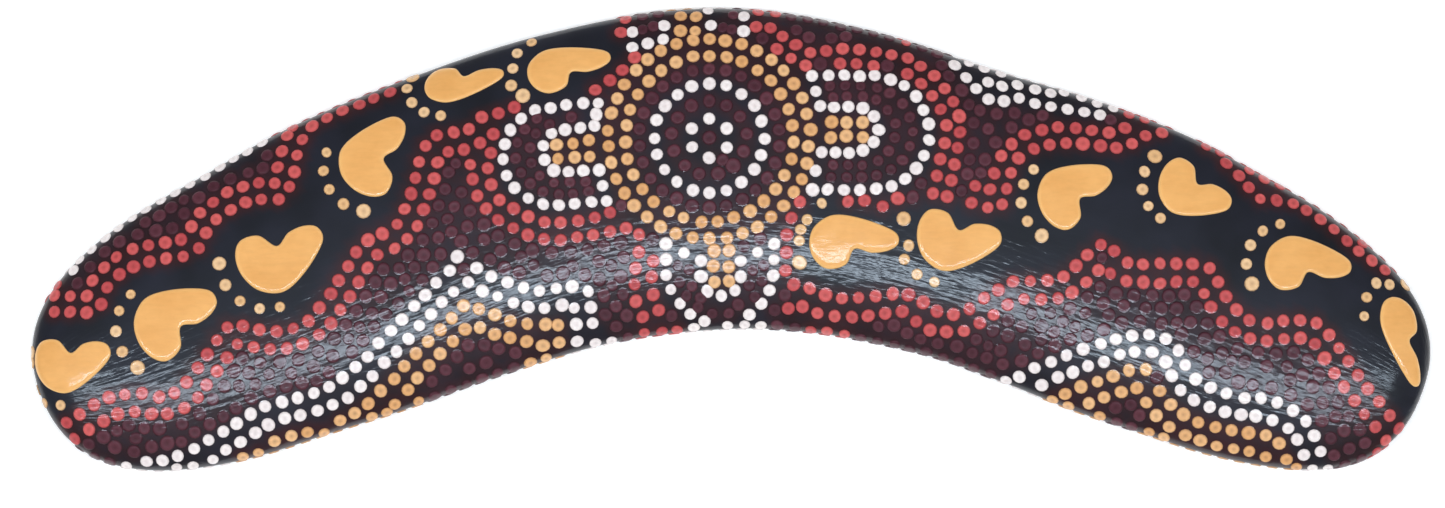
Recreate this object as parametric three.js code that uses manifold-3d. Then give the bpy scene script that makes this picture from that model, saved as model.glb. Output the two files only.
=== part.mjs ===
// A hand-painted wooden boomerang, in millimetres. +X runs from tip to tip, +Y points to the
// outer (convex) edge and +Z out of the painted face. The flat underside lies on Z = 0.
import * as THREE from 'three';
import { LoftGeometry } from 'three/addons/geometries/LoftGeometry.js';
import { mergeVertices } from 'three/addons/utils/BufferGeometryUtils.js';
import Module from 'manifold-3d';

const wasm = await Module();
wasm.setup();

// Driving dimensions.
const THICKNESS = 12.4; // underside to the top of the painted crown
const RIM_HEIGHT = 4; // level of the widest line all round the edge
const UNDER_ROUNDING = 3; // how far the edge turns in below the rim
const ROUNDING_SHARE = 0.6; // but never more than this share of the half-width
const CROWN_POWER = 2.2; // 2 is an ellipse, more is a fuller crown
const COAT = 0.4; // paint built up over the wood
const COAT_GAP = 0.1; // primer between wood and paint
const COAT_LIP = 0.6; // height at which the paint stops above the underside
const PLY_COUNT = 7;
const GLUE_LINE = 0.1;
const SOLE_LIFT = 0.1; // the raised soles start this far above the coat
const SOLE_RELIEF = 0.4; // and stand this thick

// The middle line from the left tip to the right one: X, Y and half of the blade's width there.
const MIDDLE_LINE = [
  [-173.4, -38.8, 34.5],
  [-150, -30.2, 34],
  [-124, -19.5, 35.5],
  [-98, -8, 38.4],
  [-70, 3, 39.3],
  [-38, 13, 40],
  [-5, 17.8, 40.7],
  [25, 15, 39],
  [57, 6.8, 37],
  [80, -0.6, 37.5],
  [102, -9.3, 37.5],
  [124, -19, 35.3],
  [149, -30, 33.7],
  [172.8, -39.5, 35],
];
const TIP_LENGTH = 55; // the tips round off over this length of the middle line
const TIP_POWER = 2.3; // 2 is an elliptic tip, more is a blunter one
const TIP_FLAT = 1.2; // half-width at which the facets of a tip end
const TIP_RISE = 0.05; // and how much of the crown is left there

// Fineness of the facets.
const TIP_STEPS = 10;
const BLADE_STEPS = 22;
const CROWN_STEPS = 12;
const EDGE_STEPS = 4;
const SOLE_STEPS = 24;
const LINE_STEPS = 2000; // the middle line is measured in this many steps
const MERGE_DISTANCE = 1e-5; // corners closer than this are one
const CURVE_TENSION = 0.5; // of the curves drawn through the listed points

// One bare footprint, one unit long from the heel to the front of the ball: distance ahead of
// the heel, then distance towards the big toe.
const SOLE_SHAPE = [
  [0, 0.03],
  [0.07, -0.13],
  [0.44, -0.26],
  [0.77, -0.27],
  [0.97, -0.08],
  [1.01, 0.17],
  [0.93, 0.39],
  [0.77, 0.5],
  [0.57, 0.41],
  [0.49, 0.18],
  [0.29, 0.21],
  [0.1, 0.15],
];

// The twelve footprints from the left tip to the right one: heel, ball, how wide the foot is
// next to the shape above, and 1 where the big toe is left of the way it walks or -1 where right.
const FEET = [
  { heel: [-155.4, -28.1], ball: [-172.4, -36.6], width: 1, big: -1 },
  { heel: [-128.8, -15.7], ball: [-149.3, -22.9], width: 1, big: 1 },
  { heel: [-103, 1.5], ball: [-119.6, -13], width: 1, big: -1 },
  { heel: [-82.7, 29.4], ball: [-97.3, 14.5], width: 1, big: 1 },
  { heel: [-57.3, 41.6], ball: [-76.4, 35.6], width: 0.6, big: -1 },
  { heel: [-30.4, 45.4], ball: [-51.3, 42.7], width: 0.7, big: 1 },
  { heel: [41.8, -1.3], ball: [19.9, 1], width: 0.8, big: 1 },
  { heel: [67.4, 0], ball: [47.3, -4.5], width: 1, big: -1 },
  { heel: [95.1, 15.9], ball: [76.5, 9.2], width: 1, big: 1 },
  { heel: [125.2, 8.5], ball: [106.8, 11.5], width: 1, big: -1 },
  { heel: [155.1, -8], ball: [134.1, -3.7], width: 0.85, big: 1 },
  { heel: [171.5, -37.4], ball: [163.5, -16], width: 0.53, big: -1 },
];

const WOOD_COLOURS = [0xb98a55, 0xa87a48]; // along the grain, and across it
const WOOD_ROUGHNESS = 0.5;
const COAT_COLOUR = 0x242330;
const COAT_ROUGHNESS = 0.2;
const SOLE_COLOUR = 0xf0b262;
const SOLE_ROUGHNESS = 0.3;

const SLAB_SIZE = [400, 200]; // plan size of a slab, wider than the boomerang each way

// The middle line as one smooth curve whose third coordinate carries the half-width.
const middleLine = new THREE.CatmullRomCurve3(
  MIDDLE_LINE.map(([x, y, half]) => new THREE.Vector3(x, y, half)),
  false,
  'catmullrom',
  CURVE_TENSION,
);

// Stations along the middle line, with both tips moved in by shrink: place, sideways direction,
// half-width, how far the crown has risen (0 to 1) and the distance from the nearer tip.
function stations(shrink) {
  const points = [];
  const lengths = [0];
  for (let i = 0; i <= LINE_STEPS; i += 1) {
    points.push(middleLine.getPoint(i / LINE_STEPS));
    if (i > 0) {
      const step = Math.hypot(points[i].x - points[i - 1].x, points[i].y - points[i - 1].y);
      lengths.push(lengths[i - 1] + step);
    }
  }
  const total = lengths[LINE_STEPS] - 2 * shrink;
  const tip = TIP_LENGTH - shrink;
  const places = [];
  for (let i = 0; i < TIP_STEPS; i += 1) {
    places.push(tip * (1 - Math.cos((Math.PI / 2) * (i / TIP_STEPS))));
  }
  for (let i = 0; i <= BLADE_STEPS; i += 1) {
    places.push(tip + (total - 2 * tip) * (i / BLADE_STEPS));
  }
  for (let i = TIP_STEPS - 1; i >= 0; i -= 1) {
    places.push(total - places[i]);
  }
  return places.map((place) => {
    const found = lengths.findIndex((length) => length >= place + shrink);
    const i = Math.min(Math.max(found, 1), LINE_STEPS - 1);
    const along = points[i + 1].clone().sub(points[i - 1]).setZ(0).normalize();
    const fromTip = Math.min(place, total - place);
    const inTip = Math.max(0, 1 - fromTip / tip);
    const rounding = (1 - inTip ** TIP_POWER) ** (1 / TIP_POWER);
    return {
      x: points[i].x,
      y: points[i].y,
      side: new THREE.Vector2(-along.y, along.x),
      half: Math.max((points[i].z - shrink) * rounding, TIP_FLAT),
      rise: Math.max(rounding, TIP_RISE),
      fromTip,
    };
  });
}

// One cross-section as [across, height] pairs, going round from the outer rim over the crown.
// drop lowers the crown, and below pushes the flat under the surface it would rest on.
function crossSection(station, drop, below) {
  const { half, rise, fromTip } = station;
  const crown = (THICKNESS - RIM_HEIGHT - drop) * rise;
  const inset = Math.min(UNDER_ROUNDING, half * ROUNDING_SHARE);
  const reach = Math.min(1, fromTip / UNDER_ROUNDING);
  const depth = RIM_HEIGHT * Math.max(Math.sqrt(1 - (1 - reach) ** 2), TIP_RISE);
  const pairs = [];
  for (let i = 0; i <= CROWN_STEPS; i += 1) {
    const across = Math.cos((Math.PI * i) / CROWN_STEPS);
    const up = Math.sqrt(1 - Math.abs(across) ** CROWN_POWER);
    pairs.push([half * across, RIM_HEIGHT + crown * up]);
  }
  const edge = [];
  for (let i = 1; i <= EDGE_STEPS; i += 1) {
    const turn = (Math.PI / 2) * (i / EDGE_STEPS);
    edge.push([half - inset + inset * Math.cos(turn), RIM_HEIGHT - depth * Math.sin(turn)]);
  }
  if (below > 0) {
    edge.push([half - inset, RIM_HEIGHT - depth - below]);
  }
  edge.forEach(([across, height]) => pairs.push([-across, height]));
  edge.reverse().forEach(([across, height]) => pairs.push([across, height]));
  return pairs;
}

function toSolid(geometry) {
  const bare = new THREE.BufferGeometry();
  bare.setAttribute('position', geometry.attributes.position);
  bare.setIndex(geometry.index); // null where the triangles share no corners
  const merged = mergeVertices(bare, MERGE_DISTANCE);
  return new wasm.Manifold(
    new wasm.Mesh({
      numProp: 3,
      vertProperties: new Float32Array(merged.attributes.position.array),
      triVerts: new Uint32Array(merged.index.array),
    }),
  );
}

function toGeometry(solid) {
  const mesh = solid.getMesh();
  const geometry = new THREE.BufferGeometry();
  geometry.setAttribute('position', new THREE.BufferAttribute(mesh.vertProperties, 3));
  geometry.setIndex(new THREE.BufferAttribute(mesh.triVerts, 1));
  geometry.computeVertexNormals();
  return geometry;
}

// The whole blade: shrink moves its sides and tips in, drop lowers its crown.
function blade({ shrink = 0, drop = 0, below = 0 }) {
  const sections = stations(shrink).map((station) =>
    crossSection(station, drop, below).map(([across, height]) => {
      const x = station.x + station.side.x * across;
      const y = station.y + station.side.y * across;
      return new THREE.Vector3(x, y, height);
    }),
  );
  return toSolid(new LoftGeometry(sections, { closed: true, capStart: true, capEnd: true }));
}

// A slab across the whole boomerang, between two heights.
function slab(low, high) {
  const geometry = new THREE.BoxGeometry(...SLAB_SIZE, high - low);
  geometry.translate(0, 0, (low + high) / 2);
  return toSolid(geometry);
}

const group = new THREE.Group();
group.name = 'boomerang';

function addPiece(name, solid, colour, roughness) {
  const material = new THREE.MeshStandardMaterial({ color: colour, roughness, metalness: 0 });
  const mesh = new THREE.Mesh(toGeometry(solid), material);
  mesh.name = name;
  group.add(mesh);
}

// The wooden blank, glued up from plies whose grain runs along and across in turn.
const PLY_NAMES = [
  'bottom_face_ply',
  'lower_cross_ply',
  'lower_long_ply',
  'core_ply',
  'upper_long_ply',
  'upper_cross_ply',
  'top_face_ply',
];

function addPlies() {
  const cover = COAT + COAT_GAP;
  const wood = blade({ shrink: cover, drop: cover });
  const woodThickness = THICKNESS - cover;
  const ply = (woodThickness - GLUE_LINE * (PLY_COUNT - 1)) / PLY_COUNT;
  PLY_NAMES.forEach((name, i) => {
    const low = i * (ply + GLUE_LINE);
    addPiece(name, wood.intersect(slab(low, low + ply)), WOOD_COLOURS[i % 2], WOOD_ROUGHNESS);
  });
}

// The painted ground coat, a shell over the crown and round the rim, open below.
function addCoat() {
  const outside = blade({}).intersect(slab(COAT_LIP, 2 * THICKNESS));
  const inside = blade({ shrink: COAT, drop: COAT, below: RIM_HEIGHT });
  addPiece('ground_coat', outside.subtract(inside), COAT_COLOUR, COAT_ROUGHNESS);
}

// The outline of one footprint in plan.
function soleOutline({ heel, ball, width, big }) {
  const ahead = new THREE.Vector2(ball[0] - heel[0], ball[1] - heel[1]);
  const aside = new THREE.Vector2(-ahead.y, ahead.x).multiplyScalar(width * big);
  const corners = SOLE_SHAPE.map(([forward, sideways]) => {
    const x = heel[0] + ahead.x * forward + aside.x * sideways;
    const y = heel[1] + ahead.y * forward + aside.y * sideways;
    return new THREE.Vector3(x, y, 0);
  });
  const curve = new THREE.CatmullRomCurve3(corners, true, 'catmullrom', CURVE_TENSION);
  const points = curve.getPoints(SOLE_STEPS).slice(0, -1);
  return points.map(({ x, y }) => new THREE.Vector2(x, y));
}

// The raised soles, each kept between two copies of the crown.
function addSoles() {
  const above = blade({ drop: -(SOLE_LIFT + SOLE_RELIEF) });
  const under = blade({ drop: -SOLE_LIFT });
  FEET.forEach((foot, i) => {
    const geometry = new THREE.ExtrudeGeometry(new THREE.Shape(soleOutline(foot)), {
      depth: THICKNESS,
      bevelEnabled: false,
    });
    geometry.translate(0, 0, RIM_HEIGHT);
    const sole = toSolid(geometry).intersect(above).subtract(under);
    addPiece(`foot_sole_${String(i + 1).padStart(2, '0')}`, sole, SOLE_COLOUR, SOLE_ROUGHNESS);
  });
}

addPlies();
addCoat();
addSoles();

export default group;
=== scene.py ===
"""The looks of a hand-painted wooden boomerang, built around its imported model.

Sizes in this script are millimetres, as in the boomerang's own plan: +X from tip to tip, +Y to
the outer edge, +Z out of the painted face. MM turns them into Blender's metres.
"""

import math

import bmesh
import bpy
import numpy as np
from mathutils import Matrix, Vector
from mathutils.geometry import delaunay_2d_cdt


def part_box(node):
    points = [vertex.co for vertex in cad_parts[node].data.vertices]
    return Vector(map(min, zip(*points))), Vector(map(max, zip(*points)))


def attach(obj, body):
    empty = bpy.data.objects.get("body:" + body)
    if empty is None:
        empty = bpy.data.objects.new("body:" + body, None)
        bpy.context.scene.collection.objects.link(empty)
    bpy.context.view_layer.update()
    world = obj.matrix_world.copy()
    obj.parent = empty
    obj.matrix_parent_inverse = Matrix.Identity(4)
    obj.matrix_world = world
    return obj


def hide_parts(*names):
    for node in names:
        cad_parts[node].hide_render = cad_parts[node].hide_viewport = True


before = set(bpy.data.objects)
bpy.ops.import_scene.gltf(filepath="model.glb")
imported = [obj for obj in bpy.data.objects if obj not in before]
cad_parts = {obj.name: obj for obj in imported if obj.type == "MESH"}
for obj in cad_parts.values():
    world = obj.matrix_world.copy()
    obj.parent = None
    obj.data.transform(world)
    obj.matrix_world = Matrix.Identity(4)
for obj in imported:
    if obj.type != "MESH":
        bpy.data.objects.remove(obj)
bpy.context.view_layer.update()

MM = 0.001

# ---------------------------------------------------------------- the blade's own shape

THICKNESS = 12.4
RIM_HEIGHT = 4.0
UNDER_ROUNDING = 3.0
ROUNDING_SHARE = 0.6  # the rounding is never more than this share of the half-width
CROWN_POWER = 2.2
TIP_LENGTH = 55.0
TIP_POWER = 2.3
COAT = 0.4
COAT_GAP = 0.1
COAT_LIP = 0.6

# How many steps the smooth blade has along each tip, over its crown, round its edge and below.
TIP_STEPS = 44
CROWN_STEPS = 56
EDGE_STEPS = 8
FLAT_STEPS = 18

# The middle line from the left tip to the right one: X, Y and half of the width there.
MIDDLE_LINE = [
    (-173.4, -38.8, 34.5), (-150, -30.2, 34), (-124, -19.5, 35.5), (-98, -8, 38.4),
    (-70, 3, 39.3), (-38, 13, 40), (-5, 17.8, 40.7), (25, 15, 39), (57, 6.8, 37),
    (80, -0.6, 37.5), (102, -9.3, 37.5), (124, -19, 35.3), (149, -30, 33.7), (172.8, -39.5, 35),
]


def catmull_rom(points, steps, closed=False):
    """A smooth line through the points, with so many steps between each two."""
    p = np.asarray(points, float)
    if closed:
        p = np.vstack([p[-1:], p, p[:2]])
    else:
        p = np.vstack([2 * p[0] - p[1], p, 2 * p[-1] - p[-2]])
    t = np.linspace(0, 1, steps, endpoint=False)[:, None]
    pieces = []
    for a, b, c, d in zip(p[:-3], p[1:-2], p[2:-1], p[3:]):
        leave, arrive = (c - a) / 2, (d - b) / 2
        cubic = 2 * b - 2 * c + leave + arrive
        square = 3 * c - 3 * b - 2 * leave - arrive
        pieces.append(cubic * t**3 + square * t**2 + leave * t + b)
    if not closed:
        pieces.append(p[-2:-1])
    return np.vstack(pieces)


def lengths_along(line):
    return np.r_[0, np.cumsum(np.hypot(*np.diff(line[:, :2], axis=0).T))]


LINE = catmull_rom(MIDDLE_LINE, 100)
LINE_LENGTHS = lengths_along(LINE)
SPAN = LINE_LENGTHS[-1]
COARSE = 8  # every so many points of the line are enough to start a search from


def tip_rounding(place, shrink=0.0):
    """0 at a tip and 1 past the rounded end, for places along the middle line."""
    from_tip = np.minimum(place, SPAN - place) - shrink
    inside = np.clip(1 - from_tip / (TIP_LENGTH - shrink), 0, 1)
    return (1 - inside**TIP_POWER) ** (1 / TIP_POWER)


def stations(place):
    """The middle line's points, sideways directions and full half-widths at these places."""
    x, y, half = (np.interp(place, LINE_LENGTHS, LINE[:, k]) for k in range(3))
    step = 0.5
    ahead, behind = np.minimum(place + step, SPAN), np.maximum(place - step, 0)
    dx, dy = (
        np.interp(ahead, LINE_LENGTHS, LINE[:, k]) - np.interp(behind, LINE_LENGTHS, LINE[:, k])
        for k in range(2)
    )
    long = np.hypot(dx, dy)
    return np.stack([x, y], -1), np.stack([-dy / long, dx / long], -1), half


def blade_places():
    """Places along the middle line, closer together at the tips."""
    tip = TIP_LENGTH * (1 - np.cos(np.linspace(0, math.pi / 2, TIP_STEPS, endpoint=False)))
    middle = np.linspace(TIP_LENGTH, SPAN - TIP_LENGTH, 4 * TIP_STEPS)
    return np.r_[tip, middle, (SPAN - tip)[::-1]]


def section_profile(half, rise, from_tip, drop):
    """One cross-section as (across, height) pairs: over the crown, down, and back underneath."""
    angle = np.linspace(0, math.pi, CROWN_STEPS + 1)
    across = np.cos(angle)
    crown = (THICKNESS - RIM_HEIGHT - drop) * rise
    up = np.sqrt(np.clip(1 - np.abs(across) ** CROWN_POWER, 0, 1))
    inset = min(UNDER_ROUNDING, half * ROUNDING_SHARE)
    reach = min(1.0, from_tip / UNDER_ROUNDING)
    depth = RIM_HEIGHT * math.sqrt(1 - (1 - reach) ** 2)
    turn = np.linspace(0, math.pi / 2, EDGE_STEPS + 1)[1:]
    edge = np.stack([half - inset + inset * np.cos(turn), RIM_HEIGHT - depth * np.sin(turn)], -1)
    flat = np.linspace(-(half - inset), half - inset, FLAT_STEPS + 1)[1:-1]
    return np.vstack([
        np.stack([half * across, RIM_HEIGHT + crown * up], -1),
        edge * (-1, 1),
        np.stack([flat, np.full_like(flat, RIM_HEIGHT - depth)], -1),
        edge[::-1],
    ])


def blade_rings(shrink, drop):
    """Places along the blade, and the points of the cross-section at each of them."""
    places = (shrink + blade_places() * (SPAN - 2 * shrink) / SPAN)[1:-1]
    centre, side, half = stations(places)
    rise = tip_rounding(places, shrink)
    rings = []
    for k, place in enumerate(places):
        from_tip = min(place, SPAN - place) - shrink
        width = (half[k] - shrink) * rise[k]
        profile = section_profile(width, rise[k], from_tip, drop)
        plan = centre[k] + side[k] * profile[:, :1]
        rings.append(np.column_stack([plan, profile[:, 1]]))
    return places, rings


def blade_faces(places, rings):
    """Faces between the rings and out to a pole at each tip, and for each face's corners how far
    along the blade and round its section they are."""
    rows, columns = len(rings), len(rings[0])
    middle = np.vstack([rings[rows // 2], rings[rows // 2][:1]])
    around = np.r_[0, np.cumsum(np.linalg.norm(np.diff(middle, axis=0), axis=1))]
    faces, uvs = [], []
    for r in range(rows - 1):
        for c in range(columns):
            corners = ((r, c), (r, c + 1), (r + 1, c + 1), (r + 1, c))
            faces.append([a * columns + b % columns for a, b in corners])
            uvs += [(places[a], around[b]) for a, b in corners]
    first, last = rows * columns, rows * columns + 1
    for c in range(columns):
        d = (c + 1) % columns
        faces.append((first, d, c))
        uvs += [(0, around[c]), (places[0], around[c + 1]), (places[0], around[c])]
        faces.append((last, (rows - 1) * columns + c, (rows - 1) * columns + d))
        uvs += [(SPAN, around[c]), (places[-1], around[c]), (places[-1], around[c + 1])]
    return faces, uvs


def blade_solid(name, shrink=0.0, drop=0.0):
    """The whole blade as one closed mesh, with its sides and tips moved in and its crown lowered.
    Its UV map holds the distance along the blade and round its section, in metres."""
    places, rings = blade_rings(shrink, drop)
    faces, uvs = blade_faces(places, rings)
    ends, _, _ = stations(np.array([shrink, SPAN - shrink]))
    poles = np.column_stack([ends, [RIM_HEIGHT, RIM_HEIGHT]])
    mesh = bpy.data.meshes.new(name)
    mesh.from_pydata((np.vstack([*rings, poles]) * MM).tolist(), [], faces)
    mesh.uv_layers.new(name="along_blade").uv.foreach_set("vector", (np.array(uvs) * MM).ravel())
    mesh.polygons.foreach_set("use_smooth", [True] * len(mesh.polygons))
    return mesh


def distances(points, point):
    return np.hypot(*(points - point).T)


def plan_of(mesh):
    """The X and Y of a mesh's points."""
    places = np.empty(len(mesh.vertices) * 3)
    mesh.vertices.foreach_get("co", places)
    return places.reshape(-1, 3)[:, :2] / MM


def add_field(mesh, name, values, kind="FLOAT"):
    """Gives every point of a mesh a value of its own, which its material can read."""
    field = mesh.attributes.new(name, kind, "POINT")
    field.data.foreach_set("vector" if kind == "FLOAT_VECTOR" else "value", np.ravel(values))


def new_object(name, data):
    """An object in the scene that holds this mesh, light or camera."""
    added = bpy.data.objects.new(name, data)
    bpy.context.scene.collection.objects.link(added)
    return added


def add_piece(name, mesh, material, replaced=()):
    """Adds a finished mesh as a piece of the boomerang, with its material and its CAD body."""
    piece = new_object(name, mesh)
    mesh.materials.clear()
    mesh.materials.append(material)
    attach(piece, "root")
    if replaced:
        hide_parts(*replaced)
    return piece


def blade_frame(points):
    """For points in plan: their place along the middle line, and how far across the blade they
    are, from -1 at the inner edge to 1 at the outer one."""
    points = np.atleast_2d(points)
    marks = LINE[::COARSE]
    apart = np.hypot(points[:, None, 0] - marks[None, :, 0], points[:, None, 1] - marks[None, :, 1])
    place = LINE_LENGTHS[::COARSE][apart.argmin(1)]
    just_inside = 0.02
    for _ in range(3):  # slide to the foot of the perpendicular
        centre, side, half = stations(place)
        forward = np.stack([side[:, 1], -side[:, 0]], -1)
        place = place + ((points - centre) * forward).sum(1)
        place = np.clip(place, just_inside, SPAN - just_inside)
    centre, side, half = stations(place)
    offset = ((points - centre) * side).sum(1)
    return place, offset / (half * tip_rounding(place))


def crown_height(points, drop=0.0):
    """Height of the painted crown over points in plan."""
    place, across = blade_frame(points)
    crown = (THICKNESS - RIM_HEIGHT - drop) * tip_rounding(place)
    return RIM_HEIGHT + crown * np.sqrt(np.clip(1 - np.abs(across) ** CROWN_POWER, 0, 1))


def crown_level(points, height):
    """Below 0 inside the crown and above 0 outside it: its slope gives the surface's normal."""
    place, across = blade_frame(points)
    crown = (THICKNESS - RIM_HEIGHT) * tip_rounding(place)
    return np.abs(across) ** CROWN_POWER + ((height - RIM_HEIGHT) / crown) ** 2 - 1


def crown_normal(points, height):
    step = 0.05
    sides = []
    for shift in ((step, 0), (0, step)):
        rise = crown_level(points + shift, height) - crown_level(points - np.array(shift), height)
        sides.append(rise / (2 * step))
    up = crown_level(points, height + step) - crown_level(points, height - step)
    normal = np.stack([*sides, up / (2 * step)], -1)
    return normal / np.linalg.norm(normal, axis=1, keepdims=True)


# ---------------------------------------------------------------- nodes and materials


def join(tree, target, value):
    """Feeds an input from another node's output, or sets it to a constant."""
    if isinstance(value, bpy.types.NodeSocket):
        tree.links.new(value, target)
    else:
        target.default_value = value


def feed(tree, node, inputs):
    """Joins a node's inputs, given by name or number."""
    for name, value in inputs.items():
        join(tree, node.inputs[name], value)


def add_node(tree, kind, inputs=None, **settings):
    """A new node with its settings, and its inputs by name or number."""
    node = tree.nodes.new(kind)
    for name, value in settings.items():
        setattr(node, name, value)
    feed(tree, node, inputs or {})
    return node


def socket_of(sockets, name, kind):
    """The socket of one kind, where several share a name."""
    return next(s for s in sockets if s.name == name and s.type == kind)


def add_math(tree, operation, *values, kind="ShaderNodeMath"):
    return add_node(tree, kind, dict(enumerate(values)), operation=operation).outputs[0]


def rgb(*display):
    """A colour from 0-255 display values, as the linear values that the shader wants."""
    return (*(((v / 255 + 0.055) / 1.055) ** 2.4 if v > 10 else v / 3294.6 for v in display), 1)


WHITE, BLACK = rgb(255, 255, 255), rgb(0, 0, 0)
STROKES = (110, 640, 1)  # brush strokes in a metre: along the blade, and across it
STROKE_HEIGHT = 0.00011  # metres
GRAIN = 9, 120  # veneer grain in a metre: along it, and across it


def new_material(name):
    """A material, its node tree and its shader."""
    material = bpy.data.materials.new(name)
    material.use_nodes = True
    return material, material.node_tree, material.node_tree.nodes["Principled BSDF"]


def object_place(tree):
    return add_node(tree, "ShaderNodeTexCoord").outputs["Object"]


def read_field(tree, name, outlet="Fac"):
    return add_node(tree, "ShaderNodeAttribute", attribute_name=name).outputs[outlet]


def add_noise(tree, vector, scale, detail, roughness=0.5, stretch=None):
    if stretch:
        mapping = add_node(tree, "ShaderNodeMapping", {"Vector": vector, "Scale": stretch})
        vector = mapping.outputs["Vector"]
    inputs = {"Vector": vector, "Scale": scale, "Detail": detail, "Roughness": roughness}
    return add_node(tree, "ShaderNodeTexNoise", inputs).outputs["Fac"]


def add_ramp(tree, factor, *stops):
    ramp = add_node(tree, "ShaderNodeValToRGB", {"Fac": factor})
    elements = ramp.color_ramp.elements
    while len(elements) < len(stops):
        elements.new(0.5)
    for element, (position, colour) in zip(elements, stops):
        element.position = position
        element.color = colour
    return ramp.outputs["Color"]


def add_bump(tree, height, strength, distance, under=None):
    inputs = {"Height": height, "Strength": strength, "Distance": distance}
    if under:
        inputs["Normal"] = under
    return add_node(tree, "ShaderNodeBump", inputs).outputs["Normal"]


def add_mix(tree, factor, first, second, blend="MIX"):
    inputs = {"Factor": factor}
    mix = add_node(tree, "ShaderNodeMix", inputs, data_type="RGBA", blend_type=blend)
    join(tree, socket_of(mix.inputs, "A", "RGBA"), first)
    join(tree, socket_of(mix.inputs, "B", "RGBA"), second)
    return socket_of(mix.outputs, "Result", "RGBA")


def varnish(tree, shader, roughness=0.45, coat_roughness=0.115):
    """The clear gloss varnish that lies over every paint."""
    feed(tree, shader, {"Roughness": roughness, "Specular IOR Level": 0.25})
    feed(tree, shader, {"Coat Weight": 0.72, "Coat Roughness": coat_roughness, "Coat IOR": 1.5})


def varnish_strokes(tree, shader, under=None):
    """Short brush strokes along the blade and slow puddles, in the varnish alone."""
    along = read_field(tree, "along_blade", "Vector")
    strokes = add_noise(tree, along, 1, 3, stretch=STROKES)
    puddles = add_noise(tree, along, 140, 2)
    normal = add_bump(tree, puddles, 0.3, 0.0006, under)
    normal = add_bump(tree, strokes, 1.0, STROKE_HEIGHT, normal)
    join(tree, shader.inputs["Coat Normal"], normal)


def ground_paint():
    """Blue-black paint with a thin brown wash among the dots."""
    material, tree, shader = new_material("ground_paint")
    varnish(tree, shader)
    varnish_strokes(tree, shader)
    uv = add_node(tree, "ShaderNodeUVMap", uv_map="along_blade").outputs["UV"]
    cloud = add_noise(tree, uv, 60, 2)
    bare = add_ramp(tree, cloud, (0.3, rgb(20, 22, 30)), (0.7, rgb(32, 34, 46)))
    warm = add_ramp(tree, cloud, (0.3, rgb(46, 20, 23)), (0.7, rgb(60, 28, 33)))
    colour = add_mix(tree, read_field(tree, "wash"), bare, warm)
    join(tree, shader.inputs["Base Color"], colour)
    return material


def dot_paint(name, pale, deep, painted_shade_strength):
    """Paint pressed on in dots: each dot has its own shade and a slightly uneven skin, with shade
    painted darker at its dimple and its edge. The varnish over it is more level than the dot itself."""
    material, tree, shader = new_material(name)
    varnish(tree, shader)
    colour = add_ramp(tree, read_field(tree, "tint"), (0.0, deep), (1.0, pale))
    mottle = add_noise(tree, object_place(tree), 900, 2)
    shade = add_ramp(tree, mottle, (0.3, rgb(225, 225, 225)), (0.7, WHITE))
    colour = add_mix(tree, 0.6, colour, shade, "MULTIPLY")
    # Painted shade: each dot is darkened at its dimple and at its edge, where shade would fall.
    stops = (0.0, rgb(206, 200, 200)), (0.12, WHITE), (0.5, WHITE), (1.0, rgb(214, 204, 204))
    painted_shade = add_ramp(tree, read_field(tree, "middle"), *stops)
    colour = add_mix(tree, painted_shade_strength, colour, painted_shade, "MULTIPLY")
    join(tree, shader.inputs["Base Color"], colour)
    join(tree, shader.inputs["Normal"], add_bump(tree, mottle, 0.3, 0.0001))
    lie = {"Vector": read_field(tree, "varnish_lie", "Vector")}
    spaces = {"convert_from": "OBJECT", "convert_to": "WORLD"}
    lie = add_node(tree, "ShaderNodeVectorTransform", lie, vector_type="NORMAL", **spaces)
    varnish_strokes(tree, shader, lie.outputs["Vector"])
    return material


def sole_paint():
    """Thick orange-gold paint: faintly cloudy and brushed, and paler along the edge."""
    material, tree, shader = new_material("sole_paint")
    varnish(tree, shader, 0.5)
    cloud = add_noise(tree, object_place(tree), 130, 3, 0.6)
    flat = add_ramp(tree, cloud, (0.3, rgb(236, 172, 98)), (0.7, rgb(245, 184, 110)))
    brush = add_noise(tree, object_place(tree), 1, 3, 0.6, (240, 900, 400))
    shade = add_ramp(tree, brush, (0.3, rgb(236, 232, 228)), (0.6, WHITE))
    flat = add_mix(tree, 0.35, flat, shade, "MULTIPLY")
    mask = add_ramp(tree, read_field(tree, "edge"), (0.1, WHITE), (0.9, BLACK))
    colour = add_mix(tree, mask, flat, rgb(250, 196, 124))
    join(tree, shader.inputs["Base Color"], colour)
    normal = add_bump(tree, brush, 0.3, 0.0001)
    join(tree, shader.inputs["Normal"], normal)
    join(tree, shader.inputs["Coat Normal"], add_bump(tree, cloud, 0.3, 0.0003, normal))
    return material


def wood_colour(tree, grain_stretch):
    """Light hardwood: long grain bands, fine fibres and small dark pores."""
    bands = add_noise(tree, object_place(tree), 1, 4, 0.55, grain_stretch)
    dark, light = (0.3, rgb(158, 112, 68)), (0.62, rgb(203, 158, 104))
    colour = add_ramp(tree, bands, dark, (0.48, rgb(190, 143, 92)), light, (0.75, rgb(176, 128, 80)))
    fibre_stretch = [s * 9 for s in grain_stretch]
    fibres = add_noise(tree, object_place(tree), 1, 3, 0.7, fibre_stretch)
    shade = add_ramp(tree, fibres, (0.32, rgb(150, 130, 110)), (0.55, WHITE))
    return add_mix(tree, 0.55, colour, shade, "MULTIPLY"), fibres


def veneer(name, grain_stretch):
    """Bare wood, as the plies inside the blade have it."""
    material, tree, shader = new_material(name)
    colour, fibres = wood_colour(tree, grain_stretch)
    join(tree, shader.inputs["Base Color"], colour)
    shader.inputs["Roughness"].default_value = 0.55
    join(tree, shader.inputs["Normal"], add_bump(tree, fibres, 0.4, 0.0002))
    return material


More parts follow.
